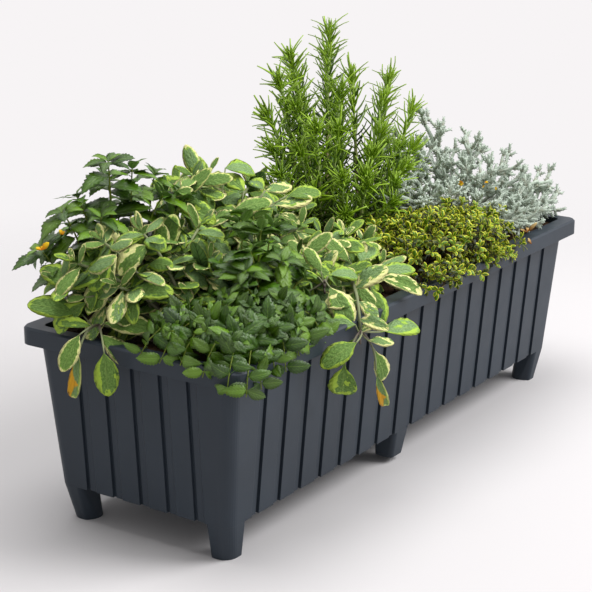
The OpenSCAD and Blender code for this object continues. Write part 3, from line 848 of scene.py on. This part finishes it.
def grow_mint(node, seed, groups, hanging, shapes):
    """Each group has its tips, the sizes of its largest and smallest leaves, and how far
    these turn outward."""
    plant = Plant(node, seed)
    for tips, largest, smallest, outward in groups:
        for tip in tips:
            mint_sprig(plant, plant.rise(tip, 36 * MM, 0.35), shapes, largest, smallest, outward)
    for tip in hanging:
        path = over_rim(plant.foot(20 * MM), tip)
        plant.stem(path, 1.3 * MM, 0.6 * MM)
        leafy(plant, path, 8, shapes[:-MINT_ROWS], lambda s: (38 - 12 * s) * MM, lambda s: 0.1, start=0.4,
              light=0.5, outward=0.5, jitter=0.5)
    plant.pieces(node, "mint_leaf", MINT_LEAF, MINT_TWIG)


def rosemary_shoot(plant, tip):
    """A pale stem set all round with needles, longest below and dense at its tip."""
    path = plant.rise(tip, 40 * MM, 0.5, 0.4)
    plant.stem(path, 2.8 * MM, 1.4 * MM)
    leafy(plant, path, max(6, int(path.length / (9 * MM))), ROSEMARY_SHAPES, lambda s: (38 - 8 * s) * MM,
          lambda s: 0.35 + 0.55 * s, per_node=3, twist=0.9, start=0.08, light=0.0, jitter=0.3)
    leafy(plant, Path(path.at(0.86), path.at(0.93), tip), 6, ROSEMARY_SHAPES[YOUNG_NEEDLE:],
          lambda s: (28 - 12 * s) * MM, lambda s: 0.75 + 0.6 * s, per_node=4, twist=0.7,
          start=0.1, light=0.0, jitter=0.25)


def grow_rosemary(tips, companions):
    """Tall shoots, and lower ones that stand close beside some of them."""
    plant = Plant("rosemary", 16)
    for tip in tips:
        rosemary_shoot(plant, tip)
    for tip in companions:
        end = tip + mm(plant.spread(24), plant.spread(36), -plant.dice.uniform(40, 110))
        end.z = max(end.z, 310 * MM)
        rosemary_shoot(plant, end)
    plant.pieces("rosemary", "rosemary_leaf", ROSEMARY_LEAF, ROSEMARY_TWIG)


def lobed(plant, path, shapes, thick):
    """One felted silver branch, set with short lobes all round."""
    plant.stem(path, thick, 0.85 * thick)
    leafy(plant, path, max(3, int(path.length / (4.0 * MM))), shapes, lambda s: (5.6 - 1.2 * s) * MM,
          lambda s: 0.55 + 0.5 * s, per_node=3, twist=0.8, start=0.02, light=0.0, jitter=0.25)


def coral(plant, start, way, length, thick, forks, shapes):
    """A branch that bends upward and forks into shorter ones."""
    dice = plant.dice
    end = start + (way + 0.3 * UP).normalized() * length
    branch = Path(start, start + way * length * 0.5, end)
    lobed(plant, branch, shapes, thick)
    if forks:
        turn = dice.uniform(0, math.tau)
        for k in range(3):
            out = around(way, turn + k * math.tau / 3 + plant.spread(0.5))
            side = (way + out * dice.uniform(0.7, 1.1)).normalized()
            coral(plant, branch.at(dice.uniform(0.6, 0.97)), side, length * dice.uniform(0.35, 0.6),
                  0.9 * thick, forks - 1, shapes)


def grow_curry(tips, shapes):
    """Stems that lean out and carry forked branches, most of them near their ends."""
    plant = Plant("curry_plant", 17)
    for tip in tips:
        path = plant.rise(tip, 40 * MM, 0.3, 0.45)
        plant.stem(path, 3 * MM, 2.4 * MM)
        lobed(plant, Path(path.at(0.4), path.at(0.7), tip), shapes, 2.5 * MM)
        for k in range(5):
            start, way = path.at(0.45 + 0.12 * k), path.along(0.45 + 0.12 * k)
            out = around(way, GOLDEN * k + plant.spread(0.5))
            coral(plant, start, (way + 1.2 * out).normalized(), plant.dice.uniform(20, 32) * MM, 2.5 * MM,
                  1, shapes)
    plant.pieces("curry_plant", "silver_leaf", SILVER_LEAF, SILVER_TWIG)


def grow_thyme(tips, shapes):
    """Wiry stems with leaves painted dark as shade, that end in bright stars of leaves."""
    plant = Plant("thyme", 18)
    for tip in tips:
        path = plant.rise(tip, 44 * MM, 0.5, 0.6)
        plant.stem(path, 0.9 * MM, 0.5 * MM)
        sprigs = [Path(path.at(0.5), path.at(0.8), tip)]
        for k in range(3):
            start = path.at(0.5 + 0.14 * k)
            end = start + mm(plant.spread(18), plant.spread(18), plant.dice.uniform(8, 24))
            sprigs.append(Path(start, start.lerp(end, 0.5) + mm(0, 0, 3), end))
        for sprig in sprigs:
            plant.stem(sprig, 0.5 * MM, 0.4 * MM)
            # the lower leaves take the cells painted dark as shade
            leafy(plant, sprig, 2, shapes[:BRIGHT], lambda s: 9 * MM, lambda s: 0.2, start=0.1, light=0.5)
            leafy(plant, Path(sprig.at(0.9), sprig.at(0.95), sprig.tip), 2, shapes[BRIGHT:],
                  lambda s: (14 - 5 * s) * MM, lambda s: 0.1 + 0.8 * s, per_node=3, start=0.2, light=0.3)
    plant.pieces("thyme", "thyme_leaf", THYME_LEAF, THYME_TWIG)


def scraps(name, finish, spots, size, wide):
    """A few spent petals or dry leaves caught in the herbs."""
    plant = Plant(name, 41)
    for spot in spots:
        for _ in range(3):
            plant.leaf(plant.dice.choice(THYME_SHAPES), spot, heading(plant.spread(180), plant.spread(50)),
                       UP + OUTWARD, size * plant.dice.uniform(0.7, 1.2), wide)
    piece(name, plant.leaves, finish)


def crumbs(count):
    """Loose soil: small clods half sunk in the top of the soil."""
    dice = random.Random(31)
    low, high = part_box("potting_soil")
    wall = 12 * MM
    bm = bmesh.new()
    bm.loops.layers.uv.new(ATLAS)
    for _ in range(count):
        place = Vector((dice.uniform(low.x + wall, high.x - wall),
                        dice.uniform(low.y + wall, high.y - wall), high.z))
        turn = Matrix.Rotation(dice.uniform(0, math.tau), 4, Vector((dice.random(), dice.random(), 1)))
        stretch = Matrix.Diagonal((dice.uniform(0.7, 1.4), dice.uniform(0.7, 1.2),
                                   dice.uniform(0.5, 0.9), 1))
        bmesh.ops.create_icosphere(bm, subdivisions=1, radius=dice.uniform(1.0, 3.4) * MM,
                                   matrix=Matrix.Translation(place) @ turn @ stretch)
    piece("soil_crumbs", bm, SOIL)


# ---------------------------------------------------------------- dress

TROUGH = moulded_plastic("trough_plastic", ANTHRACITE, ANTHRACITE_DEEP, 0.45)
INNER = moulded_plastic("inner_plastic", srgb(98, 101, 104), srgb(86, 89, 92), 0.5)
SOIL = earth("soil", srgb(34, 23, 14), srgb(70, 50, 32))
ROOTS = earth("root_soil", srgb(38, 26, 17), srgb(96, 74, 50))
RUBBER = rubber()
SAGE_LEAF, SAGE_TWIG = sage_leaf(), twig("sage_twig", srgb(132, 140, 100), srgb(104, 92, 84))
MINT_LEAF, MINT_TWIG = mint_leaf(), twig("mint_twig", srgb(110, 126, 36), srgb(128, 66, 36))
ROSEMARY_LEAF, ROSEMARY_SHAPES = rosemary_needle(), needle_shapes(0.135, (-0.9, 0.6), 21, 4, 0.5)
ROSEMARY_TWIG = twig("rosemary_twig", srgb(176, 196, 124), srgb(180, 160, 124))
SILVER_LEAF, SILVER_TWIG = silver_leaf(), twig("silver_twig", srgb(190, 202, 188), srgb(158, 160, 144))
THYME_SHAPES = thyme_shapes()
THYME_LEAF, THYME_TWIG = thyme_leaf(), twig("thyme_twig", srgb(120, 112, 50), srgb(70, 48, 30))
PETAL = petal("petal", srgb(246, 206, 40), srgb(222, 140, 20))
DRY_LEAF = petal("dry_leaf", srgb(206, 176, 120), srgb(150, 92, 24))

SLOT_FINISH = {"trough_plastic": TROUGH, "inner_plastic": INNER, "plug_rubber": RUBBER,
               "soil": SOIL, "root_soil": ROOTS}
for part in frame["record"]["subparts"]:
    finish = SLOT_FINISH.get(part["material_slot"])
    if finish:
        mesh = frame["nodes"][part["node"]].data
        if not mesh.materials:
            mesh.materials.append(finish)
        for slot in range(len(mesh.materials)):
            mesh.materials[slot] = finish

crumbs(900)
sage, mint = sage_shapes(), mint_shapes()
grow_sage_left(sage)
grow_sage_centre(sage)
grow_sage_front(sage)

rear = places(
    (-333, 90, 428), (-248, 90, 398), (-380, 122, 373), (-300, 120, 400), (-360, 80, 368),
    (-270, 60, 380), (-290, 90, 412), (-345, 130, 385), (-400, 140, 330), (-370, 150, 330),
    (-300, 155, 350), (-255, 135, 360), (-230, 60, 372))
grow_mint("mint_rear", 14, [(rear, 58 * MM, 36 * MM, 0.6)], [], mint)

crown = places(
    (-223, -62, 348), (-252, -68, 352), (-288, -78, 336), (-200, -20, 350), (-235, -30, 352),
    (-312, -88, 320), (-262, -104, 322))
front = places(
    (-362, -120, 280), (-410, -140, 272), (-305, -130, 290), (-240, -120, 300), (-340, -150, 266),
    (-400, -100, 284), (-260, -150, 270), (-320, -90, 308), (-215, -100, 300), (-370, -90, 284),
    (-400, -58, 270), (-385, -30, 262))
low = dome_tips(mm(-318, -84, 240), 38, (0.118, 0.082), 0.055, 0.5)
over = places(
    (-430, -28, 240), (-432, -58, 238), (-430, -85, 240), (-434, -118, 234), (-434, -150, 222),
    (-418, -164, 216), (-394, -167, 218), (-369, -167, 230), (-350, -169, 226), (-321, -167, 236),
    (-300, -167, 238), (-270, -164, 244))
groups = [(crown, 60 * MM, 38 * MM, 0.9), (front, 48 * MM, 28 * MM, 0.4), (low, 32 * MM, 19 * MM, 0.3)]
grow_mint("mint_front", 15, groups, over, mint)

tall = places(
    (104, 70, 534), (10, 70, 510), (-18, 70, 484), (-44, 70, 440), (160, 70, 466), (50, 90, 480),
    (128, 90, 500), (262, 70, 450), (312, 60, 400), (-5, 20, 424), (51, 20, 412), (20, -5, 356),
    (104, 0, 372), (-48, 60, 400), (-62, 40, 372), (215, 50, 430), (60, -20, 340), (160, 20, 392),
    (-52, 30, 335), (130, -20, 330), (250, 20, 356), (190, 0, 340), (280, 80, 350), (90, 110, 420),
    (180, 110, 410))
grow_rosemary(tall, tall[:16])

silver = places(
    (360, 42, 366), (335, 56, 376), (330, -30, 350), (378, 0, 340), (340, -75, 326), (380, -60, 314),
    (398, -70, 292), (415, -95, 290), (428, -110, 290), (300, -10, 330), (300, 40, 345), (270, 0, 326),
    (285, 40, 352), (255, 80, 340), (240, -40, 300), (300, -60, 310), (350, -100, 278), (400, -110, 262),
    (330, -115, 262), (300, -135, 258), (270, -90, 284), (260, -120, 264), (420, -60, 276), (425, 0, 290),
    (400, 60, 320), (360, 100, 340), (225, 10, 320), (195, -40, 300), (215, -65, 290), (428, -120, 260),
    (420, 60, 276), (180, -55, 296), (240, -85, 280), (360, -120, 262), (250, 20, 336), (380, -85, 276),
    (320, -70, 296), (290, -40, 318), (140, -45, 306), (110, -30, 318), (150, -15, 326), (400, -92, 264),
    (414, -112, 262), (380, -125, 258), (345, -132, 256), (318, -142, 258), (285, -148, 258),
    (250, -138, 268), (222, -112, 282))
grow_curry(silver, needle_shapes(0.45, (-0.4, 0.4), 22, 2, 0.75))

cushion = dome_tips(mm(110, -92, 233), 74, (0.145, 0.078), 0.06, 0.4)
cushion += [mm(x, -150 - 8 * (x % 3), 246 - 5 * (x % 4)) for x in range(-36, 225, 13)]
grow_thyme(cushion, THYME_SHAPES)

blown = places((-418, 120, 336), (-392, 110, 350), (292, -34, 305), (330, -62, 294), (320, -54, 300))
scraps("petals", PETAL, blown, 11 * MM, 1.3)
scraps("dry_leaves", DRY_LEAF, places((272, -150, 250), (258, -164, 238)), 17 * MM, 0.6)

# ---------------------------------------------------------------- stage

def camera():
    eye = added("camera", bpy.data.cameras.new("camera"))
    azimuth, height, away = math.radians(-56.03), math.radians(16.385), 2.2428
    aim = mm(-22.9, 38.2, 199.0)
    back = Vector((math.sin(azimuth) * math.cos(height), -math.cos(azimuth) * math.cos(height),
                   math.sin(height)))
    eye.location = aim + back * away
    eye.rotation_euler = (-back).to_track_quat("-Z", "Y").to_euler()
    eye.data.lens = 103.56
    eye.data.sensor_width = 36
    eye.data.clip_end = 20
    scene.camera = eye


BACKDROP = srgb(247, 244, 245)


def sky():
    """Even light from all round; a ray from the camera sees the backdrop instead."""
    world = bpy.data.worlds.new("studio")
    world.use_nodes = True
    scene.world = world
    tree = world.node_tree
    ambient = tree.nodes["Background"]
    ambient.inputs["Color"].default_value = (1, 1, 1, 1)
    ambient.inputs["Strength"].default_value = 0.4
    seen = tree.nodes.new("ShaderNodeBackground")
    seen.inputs["Color"].default_value = BACKDROP
    path = tree.nodes.new("ShaderNodeLightPath")
    share = path.outputs["Is Camera Ray"]
    for ray in ("Is Glossy Ray", "Is Transmission Ray"):
        add = tree.nodes.new("ShaderNodeMath")
        add.operation = "MAXIMUM"
        tree.links.new(share, add.inputs[0])
        tree.links.new(path.outputs[ray], add.inputs[1])
        share = add.outputs[0]
    choose = tree.nodes.new("ShaderNodeMixShader")
    tree.links.new(share, choose.inputs[0])
    tree.links.new(ambient.outputs[0], choose.inputs[1])
    tree.links.new(seen.outputs[0], choose.inputs[2])
    tree.links.new(choose.outputs[0], tree.nodes["World Output"].inputs["Surface"])


def floor():
    """A pale ground that fades out between 0.7 and 1.5 m from the trough."""
    bm = bmesh.new()
    bmesh.ops.create_circle(bm, cap_ends=True, segments=96, radius=4.0)
    ground = added("floor", finish_mesh(bm, "floor", smooth=False))
    finish = Finish("floor", Base_Color=srgb(216, 213, 214), Roughness=0.9, Specular_IOR_Level=0.0)
    radius = finish.node("VectorMath", [finish.place()], out="Value", operation="LENGTH")
    seen, clear = Wire(finish, finish.shader.outputs[0]), finish.node("BsdfTransparent")
    fade = finish.node("MixShader", [radius.step(0.7, 1.5), seen, clear])
    finish.tree.links.new(fade.socket, finish.tree.nodes["Material Output"].inputs["Surface"])
    ground.data.materials.append(finish.material)


def lamp(name, place, aim, size, power):
    light = bpy.data.lights.new(name, "AREA")
    light.shape = "DISK"
    light.size = size
    light.energy = power
    thing = added(name, light)
    thing.location = place
    thing.rotation_euler = (Vector(aim) - Vector(place)).to_track_quat("-Z", "Y").to_euler()


camera()
sky()
floor()
lamp("key", (1.5, -2.5, 2.7), (0, 0, 0.2), 2.6, 132)
lamp("top", (-0.2, 0.3, 3.2), (0, 0, 0.3), 2.2, 60)
scene.view_settings.view_transform = "Standard"
